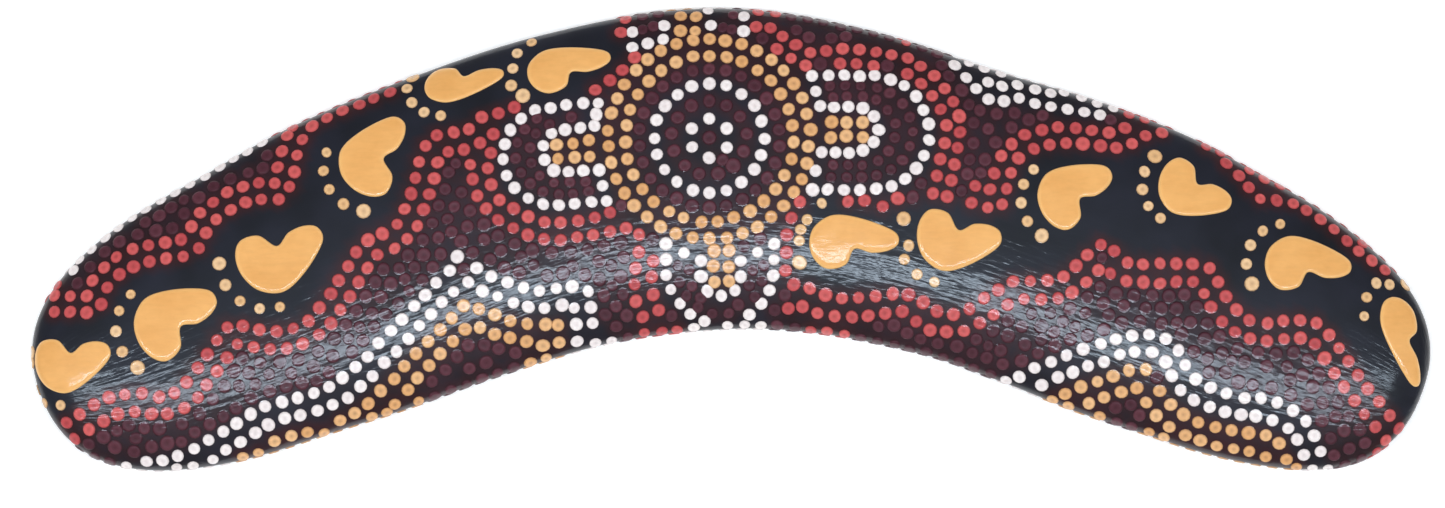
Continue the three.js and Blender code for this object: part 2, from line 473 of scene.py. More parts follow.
def underside_finish():
    """Clear-varnished wood with the ground paint lapping unevenly over its border."""
    material, tree, shader = new_material("underside_finish")
    varnish(tree, shader, coat_roughness=0.15)
    colour, fibres = wood_colour(tree, (GRAIN[0], GRAIN[1], GRAIN[1]))
    wander = add_noise(tree, object_place(tree), 90, 3)
    reach = add_math(tree, "SUBTRACT", read_field(tree, "border"), wander)
    lap = add_ramp(tree, reach, (0.0, WHITE), (0.06, BLACK))
    join(tree, shader.inputs["Base Color"], add_mix(tree, lap, colour, rgb(24, 24, 34)))
    join(tree, shader.inputs["Normal"], add_bump(tree, fibres, 0.35, 0.00015))
    return material


# ---------------------------------------------------------------- the blade's pieces


def cut_mesh(mesh, height, keep_above, close):
    """Cuts a mesh off level at a height, and closes the cut if asked."""
    shape = bmesh.new()
    shape.from_mesh(mesh)
    cut = bmesh.ops.bisect_plane(
        shape,
        geom=shape.verts[:] + shape.edges[:] + shape.faces[:],
        plane_co=(0, 0, height * MM),
        plane_no=(0, 0, -1 if keep_above else 1),
        clear_outer=True,
        dist=1e-7,
    )
    if close:
        rim = [e for e in cut["geom_cut"] if isinstance(e, bmesh.types.BMEdge)]
        bmesh.ops.triangle_fill(shape, edges=rim, use_beauty=True)
        bmesh.ops.recalc_face_normals(shape, faces=shape.faces[:])
    shape.to_mesh(mesh)
    shape.free()


# The brown wash under the dots: how strong for each colour, how far from a dot's middle it is
# still full, and how far away it ends.
WASH_STRENGTH = {"red": 1.0, "gold": 0.9, "plum": 0.7, "white": 0.15}
WASH_FULL = 1.54
WASH_END = 3.74
SHELL_SHARE = 0.8  # of the coat's thickness, which keeps its inside clear of the wood
LAP_WIDTH = 10.0  # of the border in which the ground paint's lap over the underside ends


def add_coat():
    mesh = blade_solid("painted_coat")
    plan = plan_of(mesh)
    wash = np.zeros(len(plan))
    for point, colour in zip(dots["x_y"], dots["colour"]):
        apart = distances(plan, point)
        near = np.clip((WASH_END - apart) / (WASH_END - WASH_FULL), 0, 1)
        wash = np.maximum(wash, WASH_STRENGTH[colour] * near)
    add_field(mesh, "wash", wash)
    cut_mesh(mesh, COAT_LIP, keep_above=True, close=False)
    piece = add_piece("painted_coat", mesh, ground_paint(), ["ground_coat"])
    shell = piece.modifiers.new("paint_thickness", "SOLIDIFY")
    shell.thickness = COAT * SHELL_SHARE * MM
    shell.offset = -1


def add_bottom_ply():
    cover = COAT + COAT_GAP
    mesh = blade_solid("underside_ply", shrink=cover, drop=cover)
    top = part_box("bottom_face_ply")[1].z / MM
    cut_mesh(mesh, top, keep_above=False, close=True)
    place, across = blade_frame(plan_of(mesh))
    _, _, half = stations(place)
    from_side = (1 - np.abs(across)) * half * tip_rounding(place)
    from_tip = np.minimum(place, SPAN - place)
    add_field(mesh, "border", np.minimum(from_side, from_tip) / LAP_WIDTH)
    add_piece("underside_ply", mesh, underside_finish(), ["bottom_face_ply"])


def finish_inner_plies():
    """The plies that the coat and the bottom ply hide keep their CAD shapes."""
    along = veneer("long_veneer", (GRAIN[0], GRAIN[1], GRAIN[1]))
    crosswise = veneer("cross_veneer", (GRAIN[1], GRAIN[0], GRAIN[1]))
    for name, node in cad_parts.items():
        if name.endswith("_ply") and name != "bottom_face_ply":
            node.data.materials.clear()
            node.data.materials.append(crosswise if "cross" in name or "core" in name else along)


# ---------------------------------------------------------------- footprints

# One bare footprint, one unit long from the heel to the front of the ball: distance ahead of
# the heel, then distance towards the big toe.
SOLE_SHAPE = [
    (0, 0.03), (0.07, -0.13), (0.44, -0.26), (0.77, -0.27), (0.97, -0.08), (1.01, 0.17),
    (0.93, 0.39), (0.77, 0.5), (0.57, 0.41), (0.49, 0.18), (0.29, 0.21), (0.1, 0.15),
]

# Heel, ball, width next to the shape above, and 1 where the big toe is on the left or -1.
FEET = [
    ((-155.4, -28.1), (-172.4, -36.6), 1, -1),
    ((-128.8, -15.7), (-149.3, -22.9), 1, 1),
    ((-103, 1.5), (-119.6, -13), 1, -1),
    ((-82.7, 29.4), (-97.3, 14.5), 1, 1),
    ((-57.3, 41.6), (-76.4, 35.6), 0.6, -1),
    ((-30.4, 45.4), (-51.3, 42.7), 0.7, 1),
    ((41.8, -1.3), (19.9, 1), 0.8, 1),
    ((67.4, 0), (47.3, -4.5), 1, -1),
    ((95.1, 15.9), (76.5, 9.2), 1, 1),
    ((125.2, 8.5), (106.8, 11.5), 1, -1),
    ((155.1, -8), (134.1, -3.7), 0.85, 1),
    ((171.5, -37.4), (163.5, -16), 0.53, -1),
]
SOLE_RELIEF = 0.5
SOLE_ROUNDING = 0.9  # width of the rolled edge
SOLE_RIPPLE = 0.02
SOLE_RIPPLE_TURN = 0.7, 0.9  # radians in a millimetre, along X and along Y
SOLE_RINGS = 0.1, 0.3, 0.6  # places of the mesh's rings, as shares of the rolled edge
SOLE_SINK = 0.15  # how far a sole reaches into the coat below it
SOLE_MESH_STEP = 0.7

# Toes, on an arc that is measured as the sole is: its middle, radius and angles in degrees.
TOE_COUNT = 5
TOE_ARC_MIDDLE = 0.68, 0.07
TOE_ARC_RADIUS = 0.5
TOE_ARC_OPENING = 0.02  # how much further out each toe is
TOE_ARC_START = -62
TOE_ARC_STEP = 26
TOE_SIZE = 3.0
TOE_GROWTH = 0.12
BIG_TOE_SIZE = 4.2


def foot_axes(heel, ball, width, big):
    ahead = np.array(ball, float) - heel
    aside = np.array([-ahead[1], ahead[0]]) * big
    return np.array(heel, float), ahead, aside * width


def sole_outline(foot, steps=8):
    heel, ahead, aside = foot_axes(*foot)
    corners = [heel + ahead * forward + aside * sideways for forward, sideways in SOLE_SHAPE]
    return catmull_rom(corners, steps, closed=True)


def toe_dots(foot):
    """Five toes on an arc in front of the ball, the big toe largest: points and diameters."""
    heel, ahead, aside = foot_axes(*foot)
    spread = (1 + foot[2]) / 2 / foot[2]
    points, sizes = [], []
    for k in range(TOE_COUNT):
        angle = math.radians(TOE_ARC_START + TOE_ARC_STEP * k)
        radius = TOE_ARC_RADIUS + TOE_ARC_OPENING * k
        forward = TOE_ARC_MIDDLE[0] + radius * math.cos(angle)
        sideways = TOE_ARC_MIDDLE[1] + radius * math.sin(angle)
        points.append(heel + ahead * forward + aside * spread * sideways)
        sizes.append(TOE_SIZE + TOE_GROWTH * k if k < TOE_COUNT - 1 else BIG_TOE_SIZE)
    return np.array(points), np.array(sizes)


def distance_to_loop(points, loop):
    """Distance from each point to a closed loop of corners."""
    start, end = loop, np.roll(loop, -1, axis=0)
    run = end - start
    share = ((points[:, None] - start) * run).sum(2) / (run**2).sum(1)
    nearest = start + np.clip(share, 0, 1)[..., None] * run
    return np.linalg.norm(points[:, None] - nearest, axis=2).min(1)


def inside_loop(points, loop):
    """True for the points inside a closed loop of corners."""
    x, y = points[:, 0, None], points[:, 1, None]
    x1, y1 = loop[:, 0], loop[:, 1]
    x2, y2 = np.roll(x1, -1), np.roll(y1, -1)
    crosses = (y1 > y) != (y2 > y)
    rise = np.where(y2 == y1, 1e-9, y2 - y1)
    return (crosses & (x < (x2 - x1) * (y - y1) / rise + x1)).sum(1) % 2 == 1


def sole_plan(outline):
    """Points and faces that fill an outline, with rings of points along its rolled edge."""
    run = np.roll(outline, -1, axis=0) - np.roll(outline, 1, axis=0)
    inward = np.stack([-run[:, 1], run[:, 0]], -1) / np.linalg.norm(run, axis=1)[:, None]
    rings = [outline + inward * SOLE_ROUNDING * share for share in SOLE_RINGS]
    axes = [np.arange(outline[:, k].min(), outline[:, k].max(), SOLE_MESH_STEP) for k in range(2)]
    grid = np.stack(np.meshgrid(*axes), -1).reshape(-1, 2)
    grid = grid[inside_loop(grid, outline)]
    grid = grid[distance_to_loop(grid, outline) > SOLE_ROUNDING]
    plan = np.vstack([outline, *rings, grid])
    count = len(outline)
    border = [(k, (k + 1) % count) for k in range(count)]
    inside = 1
    verts, _, faces, *_ = delaunay_2d_cdt([Vector(p) for p in plan], border, [], inside, 1e-5)
    return np.array([tuple(v) for v in verts]), faces


def sole_mesh(name, foot):
    """A low plaque of paint on the crown, with a rolled edge and a closed underside."""
    outline = sole_outline(foot)
    ahead = np.roll(outline, -1, axis=0)
    if (outline[:, 0] * ahead[:, 1] - outline[:, 1] * ahead[:, 0]).sum() < 0:
        outline = outline[::-1]  # so that its left is inward
    plan, faces = sole_plan(outline)
    share = np.clip(distance_to_loop(plan, outline) / SOLE_ROUNDING, 0, 1)
    wave_x, wave_y = (plan[:, k] * SOLE_RIPPLE_TURN[k] for k in range(2))
    ripple = SOLE_RIPPLE * np.sin(wave_x + foot[0][0]) * np.sin(wave_y)
    relief = SOLE_RELIEF * np.sqrt(1 - (1 - share) ** 2) + ripple * share
    base = crown_height(plan)
    top = np.column_stack([plan, base + relief])
    under = np.column_stack([plan, base - SOLE_SINK])
    total = len(plan)
    ways = {(f[k], f[(k + 1) % 3]) for f in faces for k in range(3)}
    walls = [(b, a, a + total, b + total) for a, b in ways if (b, a) not in ways]
    bottom = [tuple(i + total for i in reversed(f)) for f in faces]
    mesh = bpy.data.meshes.new(name)
    every_face = [*map(tuple, faces), *walls, *bottom]
    mesh.from_pydata((np.vstack([top, under]) * MM).tolist(), [], every_face)
    add_field(mesh, "edge", np.r_[share, np.zeros(total)])
    smooth = [k < len(faces) for k in range(len(every_face))]
    mesh.polygons.foreach_set("use_smooth", smooth)
    return mesh


def add_soles():
    paint = sole_paint()
    for k, foot in enumerate(FEET, 1):
        name = f"raised_sole_{k:02d}"
        add_piece(name, sole_mesh(name, foot), paint, [f"foot_sole_{k:02d}"])


# ---------------------------------------------------------------- the dotted picture

PITCH = 4.2  # along a row
FILL_PITCH = 3.95  # between the plum dots that fill the ground
CROWDING = 0.64  # dots closer than this share of the pitch are left out
TIGHT = 0.6  # the same, where dots may be closer
DOT_SIZES = {"white": 3.55, "plum": 3.9, "gold": 3.7, "red": 3.7}

# The ringed circle: radius, number of dots and colour of each ring.
ROSETTE = (-5.6, 24.6)
ROSETTE_RINGS = [
    (0, 1, "plum"), (5, 6, "white"), (9.3, 13, "plum"), (13.8, 20, "white"), (17.6, 26, "plum"),
    (21.1, 31, "gold"), (25.3, 38, "gold"),
]

# Horseshoes round the circle: centres of the outer and inner bends, the heading of the open end
# in degrees, then radius and leg length of the outer and of the inner row.
HORSESHOES = [
    ((-44.8, 20.1), (-41.8, 21.3), 5, 12.5, 12.5, 5.5, 8),
    ((35, 26.1), (31, 26.8), 180, 14.5, 14.8, 5.8, 8.8),
    ((-2.9, -8), (-2.6, -10), 90, 13.5, 6, 4.9, 3.8),
    ((-11, 62), (-11, 62), -90, 14, 14, 6, 12),
]

# Guide lines for rows of dots, each drawn from left to right where it can be.
TRAIL_LEFT_LOW = [
    (-170, -49), (-157.5, -41.5), (-149, -39.5), (-140, -40), (-133.5, -33.5), (-128, -25.5),
    (-124.5, -22.5), (-115.5, -24), (-107.5, -22.5), (-101.5, -16.5), (-92, -2), (-84.5, 2),
    (-80.5, 10), (-76, 24), (-66.5, 26.5), (-63, 29.5), (-44.5, 35), (-35, 36.5), (-27.5, 42),
    (-24.5, 45.5), (-27.5, 48), (-28, 56),
]
TRAIL_LEFT_HIGH = [
    (-174, -18.5), (-159.5, -18.5), (-155.5, -12), (-148.5, -7), (-134.5, -4), (-130, 3.5),
    (-120.5, 9), (-111.5, 10.5), (-107, 26.5), (-98, 32), (-86, 37),
]
TRAIL_RIGHT_LOW = [
    (12, -14), (16, -12), (27, -15.5), (43.5, -14.5), (51.5, -19), (58.5, -18.5), (69.5, -12),
    (79.5, -11.5), (84, -9.5), (93, -2), (99.5, -7), (118, -7.5), (123.5, -15.5), (130.5, -21.5),
    (145, -21.5), (152, -28.5), (157, -36), (167, -48),
]
TRAIL_RIGHT_HIGH = [
    (60, 8.5), (67, 7), (69.5, 14.5), (73.5, 21), (82.5, 23.5), (98, 22.5), (102, 25), (112, 28),
]
TRAIL_RIGHT_RIM = [(118, 24), (127, 16), (132, 10), (140.5, 9), (150, 3), (158, -4), (164, -8)]
UNDER_RIGHT_BEND = [(29, 8.5), (33.5, 8.5), (37.5, 7.5), (41.5, 9)]
BESIDE_CIRCLE = [(19.5, 12), (17, 8.5), (14, 1.5), (13.5, -8.5)]
ROUND_LEFT_BEND = [
    (-64.5, 22), (-65.5, 17.5), (-63, 8.5), (-56, 2.5), (-46.5, -1), (-35.5, 0), (-25.5, 2),
    (-23, -1.5), (-24, -6.5), (-24, -15.5), (-20.5, -24),
]
ROUND_RIGHT_BEND = [
    (10.5, 57), (10, 52), (13.5, 50.5), (20, 46.5), (28, 47.5), (38.5, 46.5), (47.5, 43.5),
    (54, 36.5), (57.5, 28), (56, 19), (54, 10),
]
HILLS_LEFT = [
    (-150.5, -57), (-139, -55), (-127, -49), (-116, -42.5), (-103, -39), (-95, -34), (-84, -22.5),
    (-70, -8), (-68.5, -4), (-62.5, -9), (-50, -13.5), (-40, -12.5), (-35.5, -14), (-35, -20),
    (-34, -30),
]
HILLS_RIGHT = [
    (72, -35), (79.5, -31.5), (100, -25), (110, -27), (115.5, -36), (125, -40), (135, -41.5),
    (143, -46), (147, -53.5), (148, -58),
]
RIM_LEFT = [(-165, -8), (-156.5, 1.5), (-138, 11.5), (-120.5, 23)]
CREST_RIGHT = [(59, 46), (66, 38), (70, 39), (78.5, 37), (93, 34.5)]

# Rows along a guide: how far to its left each row runs, and its colour.
DOT_ROWS = [
    (TRAIL_LEFT_LOW, [(0, "red"), (-4.5, "red")]),
    (TRAIL_LEFT_HIGH, [(0, "red"), (4.2, "red")]),
    (ROUND_LEFT_BEND, [(0, "red"), (4.3, "red")]),
    (ROUND_RIGHT_BEND, [(0, "red"), (-3.7, "red")]),
    (TRAIL_RIGHT_HIGH, [(0, "red"), (4, "red")]),
    (TRAIL_RIGHT_RIM, [(0, "red"), (4, "red")]),
    (UNDER_RIGHT_BEND, [(0, "red")]),
    (BESIDE_CIRCLE, [(0, "red")]),
    (TRAIL_RIGHT_LOW, [(0, "red"), (-4.6, "red")]),
    (HILLS_LEFT, [(0, "white"), (-4.3, "white"), (-8.6, "gold"), (-12.9, "gold")]),
    (HILLS_RIGHT, [(0, "white"), (-4.3, "white"), (-8.6, "gold"), (-12.9, "gold")]),
    (RIM_LEFT, [(0, "white")]),
    (CREST_RIGHT, [(0, "white"), (-3.6, "white")]),
]

# Bare ground, with footprints only: the winding path of each wing.
PATHS = [
    [
        *TRAIL_LEFT_HIGH, (-76, 47), (-51, 56), (-28, 58),
        *TRAIL_LEFT_LOW[::-1], (-180, -48), (-180, -20),
    ],
    [
        TRAIL_RIGHT_LOW[0], *BESIDE_CIRCLE[::-1], *UNDER_RIGHT_BEND, ROUND_RIGHT_BEND[-1],
        *TRAIL_RIGHT_HIGH, *TRAIL_RIGHT_RIM, (180, -10), (180, -46), *TRAIL_RIGHT_LOW[:0:-1],
    ],
]

GUIDE_STEPS = 12
BEND_STEPS = 40

# In and round the horseshoes: the pitch of the rows, how close other dots may be, and the size
# of the dots between the two white rows.
OUTER_PITCH = 4.0
INNER_PITCH = 3.7
BETWEEN_PITCH = 3.9
BETWEEN_CROWDING = 0.56
BETWEEN_SIZE = 0.86
GOLD_OFFSET = 1.9

TOE_STEP = 0.4
TOE_STEPS = 12
TOE_CROWDING = 0.85  # dots closer to a toe than this share of its room are left out
TOE_ROOM = 3.8  # between a toe and the dots around it
TOE_GAP = 2.3  # between a toe's middle and a sole
SOLE_GAP = 2.6  # between a dot's middle and a sole

# Places across the blade, as shares of its half-width.
LAST_ROW = 0.955
RIM_ROW = 0.985
NEAR_RIM = 0.8
ABOVE_SIDE = 0.88
TOE_LIMIT = 0.975
TOE_RIM = 0.99

RIM_SIZE = 0.92  # of the dots on the rim, next to the others
RIM_STEPS = 900
ROW_REACH = 4.6  # from a row's last dot to the rim's dots that take up its colour
SIDE_REACH = 5.0
SIDE_SIZE = 0.88
SIDE_HEIGHT = 2.9

# Filling the open ground, in millimetres and then as shares of the fill's pitch.
GROUND_REACH = 177, 59
GROUND_STEP = 0.6
FOOT_REACH = 45
TOE_CLEARANCE = 0.9
FILL_CROWDING = 0.95
FILL_NEIGHBOURS = 1.9  # a dot nests against two that are at most this far apart
FILL_SAME_PLACE = 0.5
FILL_LEAST_GAP = 0.8
FILL_SQUEEZE = 0.08  # how much larger than its gap a small dot is

dots = {"x_y": np.empty((0, 2)), "colour": [], "size": []}


def room_at(point, needed):
    apart = distances(dots["x_y"], point)
    return not len(apart) or apart.min() >= needed


def lay(points, colour, crowding=CROWDING, size=1.0):
    """Adds dots of one colour, leaving out those that would sit on earlier ones."""
    for point in np.atleast_2d(points):
        if room_at(point, PITCH * crowding):
            dots["x_y"] = np.vstack([dots["x_y"], point])
            dots["colour"].append(colour)
            dots["size"].append(DOT_SIZES[colour] * size)


def keep_dots(kept):
    dots["x_y"] = dots["x_y"][kept]
    for key in ("colour", "size"):
        dots[key] = [value for value, stays in zip(dots[key], kept) if stays]


def spaced(line, pitch=PITCH):
    """Points at equal steps along a line."""
    along = lengths_along(line)
    steps = max(1, round(along[-1] / pitch))
    at = np.linspace(0, along[-1], steps + 1)
    return np.stack([np.interp(at, along, line[:, k]) for k in range(2)], -1)


def beside(line, offset):
    """The line that runs a distance to the left of another, without the loops inside its bends."""
    run = np.gradient(line, axis=0)
    left = np.stack([-run[:, 1], run[:, 0]], -1) / np.linalg.norm(run, axis=1)[:, None]
    moved = line + left * offset
    apart = np.linalg.norm(moved[:, None] - line[None], axis=2).min(1)
    return moved[apart > abs(offset) * 0.97]


def lay_rosette():
    for radius, count, colour in ROSETTE_RINGS:
        turn = np.arange(count) * 2 * math.pi / count + math.pi / 2
        lay(np.array(ROSETTE) + radius * np.stack([np.cos(turn), np.sin(turn)], -1), colour)


def horseshoe_line(centre, heading, radius, leg):
    """An open bend with two straight legs that point along the heading."""
    turn = np.linspace(math.pi / 2, math.pi * 1.5, BEND_STEPS)
    bend = radius * np.stack([np.cos(turn), np.sin(turn)], -1)
    shape = np.vstack([[(leg, radius)], bend, [(leg, -radius)]])
    c, s = math.cos(heading), math.sin(heading)
    return np.array(centre) + shape @ np.array([(c, s), (-s, c)])


def lay_horseshoe(outer_centre, inner_centre, heading, outer, outer_leg, inner, inner_leg):
    """White outer and inner rows joined at the legs' ends, plum rows between, gold in the middle."""
    heading = math.radians(heading)
    outer_line = horseshoe_line(outer_centre, heading, outer, outer_leg)
    inner_line = horseshoe_line(inner_centre, heading, inner, inner_leg)
    lay(spaced(outer_line, OUTER_PITCH), "white")
    lay(spaced(inner_line, INNER_PITCH), "white")
    for end in (0, -1):
        lay((outer_line[end] + inner_line[end]) / 2, "white", TIGHT)
    for share in (1 / 3, 2 / 3):
        line = outer_line * (1 - share) + inner_line * share
        lay(spaced(line, BETWEEN_PITCH)[1:-1], "plum", BETWEEN_CROWDING, BETWEEN_SIZE)
    c, s = math.cos(heading), math.sin(heading)
    for step in range(4):
        ahead = step * BETWEEN_PITCH - inner * 0.3
        for offset in (-GOLD_OFFSET, GOLD_OFFSET):
            from_centre = c * ahead - s * offset, s * ahead + c * offset
            lay(np.array(inner_centre) + from_centre, "gold", TIGHT)


def lay_rows():
    for guide, rows in DOT_ROWS:
        line = catmull_rom(guide, GUIDE_STEPS)
        for offset, colour in rows:
            lay(spaced(beside(line, offset) if offset else line), colour)


def draw_back_toes():
    """Every foot's toes, each drawn back towards its ball until it clears the rows of dots and
    the other soles; a dot that is still in its way is left out."""
    placed = []
    soles = [sole_outline(foot, 4) for foot in FEET]
    for own, foot in enumerate(FEET):
        points, sizes = toe_dots(foot)
        others = [sole for k, sole in enumerate(soles) if abs(k - own) == 1]
        for k, point in enumerate(points):
            back = foot[1] - point
            back /= np.hypot(*back)
            for _ in range(TOE_STEPS):
                toe = point[None]
                crowded = not room_at(point, TOE_ROOM) or any(
                    distance_to_loop(toe, sole)[0] < TOE_GAP or inside_loop(toe, sole)[0]
                    for sole in others
                )
                if not crowded or distance_to_loop(toe + back * TOE_STEP, soles[own])[0] < TOE_GAP:
                    break
                point = point + back * TOE_STEP
            points[k] = point
            keep_dots(distances(dots["x_y"], point) > TOE_ROOM * TOE_CROWDING)
        placed.append((points, sizes))
    return placed


def open_ground(toes):
    """A grid of points on the blade that are clear of the bare paths, the soles and the toes."""
    axes = [np.arange(-reach, reach + 1, GROUND_STEP) for reach in GROUND_REACH]
    grid = np.stack(np.meshgrid(*axes, indexing="ij"), -1)
    flat = grid.reshape(-1, 2)
    clear = (np.abs(blade_frame(flat)[1]) < LAST_ROW) & ~on_bare_path(flat)
    for foot in FEET:
        near = clear & (distances(flat, foot[0]) < FOOT_REACH)
        clear[near] &= distance_to_loop(flat[near], sole_outline(foot, 2)) > SOLE_GAP
    for toe in np.vstack([points for points, _ in toes]):
        clear &= distances(flat, toe) > FILL_PITCH * TOE_CLEARANCE
    return axes, clear.reshape(grid.shape[:2]), flat[clear]


def fill_ground(toes):
    """Fills the open ground with plum dots: each new one nests against two that are there, and
    slightly smaller ones go into the gaps that are left, the widest gap first."""
    axes, clear, ground = open_ground(toes)

    def free(point):
        cell = [round((point[k] - axes[k][0]) / (axes[k][1] - axes[k][0])) for k in range(2)]
        inside = all(0 <= cell[k] < clear.shape[k] for k in range(2))
        return inside and clear[tuple(cell)] and room_at(point, FILL_PITCH * FILL_CROWDING)

    waiting = list(dots["x_y"])
    for point in waiting:
        near = distances(dots["x_y"], point) < FILL_PITCH * FILL_NEIGHBOURS
        for other in dots["x_y"][near]:
            gap = other - point
            apart = np.hypot(*gap)
            if apart < FILL_PITCH * FILL_SAME_PLACE:
                continue
            reach = math.sqrt(max(FILL_PITCH**2 - (apart / 2) ** 2, 0.01))
            side = np.array([-gap[1], gap[0]]) / apart * reach
            for spot in (point + gap / 2 + side, point + gap / 2 - side):
                if free(spot):
                    lay(spot, "plum", 0)
                    waiting.append(spot)
    room = np.full(len(ground), np.inf)
    for point in dots["x_y"]:
        room = np.minimum(room, distances(ground, point))
    while room.max() > FILL_PITCH * FILL_LEAST_GAP:
        spot = ground[room.argmax()]
        lay(spot, "plum", 0, min(1, room.max() / FILL_PITCH + FILL_SQUEEZE))
        room = np.minimum(room, distances(ground, spot))


def rim_loop(across):
    """A closed loop round the blade's edge, at one share of its width."""
    places = np.r_[0.8, np.linspace(1.5, SPAN - 1.5, RIM_STEPS), SPAN - 0.8]
    centre, side, half = stations(places)
    reach = (half * tip_rounding(places))[:, None] * side * across
    return np.vstack([centre + reach, (centre - reach)[::-1], centre[:1] + reach[:1]])


def on_bare_path(points):
    return np.any([inside_loop(points, np.array(path, float)) for path in PATHS], axis=0)


def lay_rim(rows):
    """A row along the edge that takes up the colours of the rows that run into it."""
    places, colours = rows
    near_edge = np.abs(blade_frame(places)[1]) > NEAR_RIM
    places, colours = places[near_edge], np.array(colours)[near_edge]
    soles = [sole_outline(foot, 2) for foot in FEET]
    row = spaced(rim_loop(RIM_ROW), PITCH)[:-1]
    for point in row[~on_bare_path(row)]:
        apart = distances(places, point)
        if all(distance_to_loop(point[None], sole)[0] > SOLE_GAP for sole in soles):
            colour = colours[apart.argmin()] if apart.min() < ROW_REACH else "plum"
            lay(point, colour, TIGHT, RIM_SIZE)


def side_dots():
    """The last row, on the blade's side: each dot takes its colour from the nearest one above."""
    edge = np.abs(blade_frame(dots["x_y"])[1]) > ABOVE_SIDE
    above, colours = dots["x_y"][edge], np.array(dots["colour"])[edge]
    row = spaced(rim_loop(1.0), PITCH)[:-1]
    apart = np.linalg.norm(row[:, None] - above[None], axis=2)
    near = (apart.min(1) < SIDE_REACH) & ~on_bare_path(row)
    return row[near], colours[apart.argmin(1)][near]


def lay_picture():
    """Lays every dot in plan, and returns the toes and the row on the blade's side."""
    lay_rosette()
    for shape in HORSESHOES:
        lay_horseshoe(*shape)
    lay_rows()
    drawn = dots["x_y"], dots["colour"]
    keep_dots(np.abs(blade_frame(dots["x_y"])[1]) < LAST_ROW)
    toes = draw_back_toes()
    lay_rim(drawn)
    fill_ground(toes)
    return toes, side_dots()


# ---------------------------------------------------------------- dots of paint

DOT_RELIEF = 0.42
DOT_SINK = 0.3  # how far a dot reaches into the coat below it
DOT_DIMPLE = 0.34  # depth of the dimple, as a share of the dot's height
DOT_UNEVENNESS = 0.07
DOT_SIDES = 12
DOT_RINGS = 4
DOT_RING_SPREAD = 0.6  # below 1, the rings are closer together at the edge
DOT_SHOULDER = 8.0  # the higher, the flatter the dot's top and the steeper its edge
DOT_BOWL = 3.0  # the higher, the narrower the dimple
DOT_WANDER = 0.13  # how far a dot strays from its place in the row
DOT_SIZE_SPREAD = 0.035
VARNISH_LEVELLING = 0.88  # 0 where the varnish follows each dot, 1 where it fills in between them

# Each paint's pale and deep shade, and the strength of the shade painted into its dots' dimples and
# edges.
DOT_LOOKS = {
    "white": (rgb(255, 246, 244), rgb(248, 237, 236), 0.45),
    "red": (rgb(222, 100, 99), rgb(196, 77, 81), 0.9),
    "gold": (rgb(246, 196, 142), rgb(232, 172, 112), 0.9),
    "plum": (rgb(98, 51, 63), rgb(78, 38, 50), 0.9),
}
TOE_LOOK = rgb(248, 208, 160), rgb(238, 190, 134), 0.9


def named_value(tree, name, kind="FLOAT"):
    reader = add_node(tree, "GeometryNodeInputNamedAttribute", data_type=kind)
    reader.inputs["Name"].default_value = name
    return reader.outputs["Attribute"]


def store_value(tree, geometry, name, value, kind="FLOAT"):
    inputs = {"Geometry": geometry, "Name": name, "Value": value}
    store = add_node(tree, "GeometryNodeStoreNamedAttribute", inputs, data_type=kind, domain="POINT")
    return store.outputs["Geometry"]


def dot_sockets():
    """An empty tree that takes the places, the dots' sizes, the skin to lie on and the paint."""
    tree = bpy.data.node_groups.new("pressed_dots", "GeometryNodeTree")
    inputs = (
        ("Points", "Geometry", None), ("Relief", "Float", DOT_RELIEF), ("Sink", "Float", DOT_SINK),
        ("Dimple", "Float", DOT_DIMPLE), ("Unevenness", "Float", DOT_UNEVENNESS),
        ("Seed", "Int", 1), ("Skin", "Object", None), ("Paint", "Material", None),
    )
    for name, kind, value in inputs:
        socket = tree.interface.new_socket(name, in_out="INPUT", socket_type="NodeSocket" + kind)
        if value is not None:
            socket.default_value = value
    tree.interface.new_socket("Dots", in_out="OUTPUT", socket_type="NodeSocketGeometry")
    return tree, tree.nodes.new("NodeGroupInput").outputs


def one_dot(tree, dimple):
    """A flat disc, one unit in radius: a cone pressed flat, with its rings closer together at the
    edge. Each point keeps the height it will have and how near the middle it is."""
    sizes = {"Vertices": DOT_SIDES, "Side Segments": DOT_RINGS}
    sizes.update({"Radius Top": 0.0, "Radius Bottom": 1.0, "Depth": 1.0})
    cone = add_node(tree, "GeometryNodeMeshCone", sizes, fill_type="NGON")
    place = add_node(tree, "GeometryNodeInputPosition").outputs[0]
    along = add_node(tree, "ShaderNodeSeparateXYZ", {0: place}).outputs
    out = add_math(tree, "SUBTRACT", 1.0, along["Z"])
    radius = add_math(tree, "POWER", out, DOT_RING_SPREAD)
    body = add_math(tree, "SUBTRACT", 1.0, add_math(tree, "POWER", radius, DOT_SHOULDER))
    inward = add_math(tree, "SUBTRACT", 1.0, add_math(tree, "POWER", radius, 2.0))
    bowl = add_math(tree, "POWER", inward, DOT_BOWL)
    height = add_math(tree, "SUBTRACT", body, add_math(tree, "MULTIPLY", bowl, dimple))
    shape = store_value(tree, cone.outputs["Mesh"], "height", height)
    shape = store_value(tree, shape, "middle", bowl)
    widen = add_math(tree, "DIVIDE", radius, add_math(tree, "MAXIMUM", out, 0.001))
    flat = {axis: add_math(tree, "MULTIPLY", along[axis], widen) for axis in "XY"}
    flat = add_node(tree, "ShaderNodeCombineXYZ", flat).outputs[0]
    return add_node(tree, "GeometryNodeSetPosition", {"Geometry": shape, "Position": flat}).outputs[0]


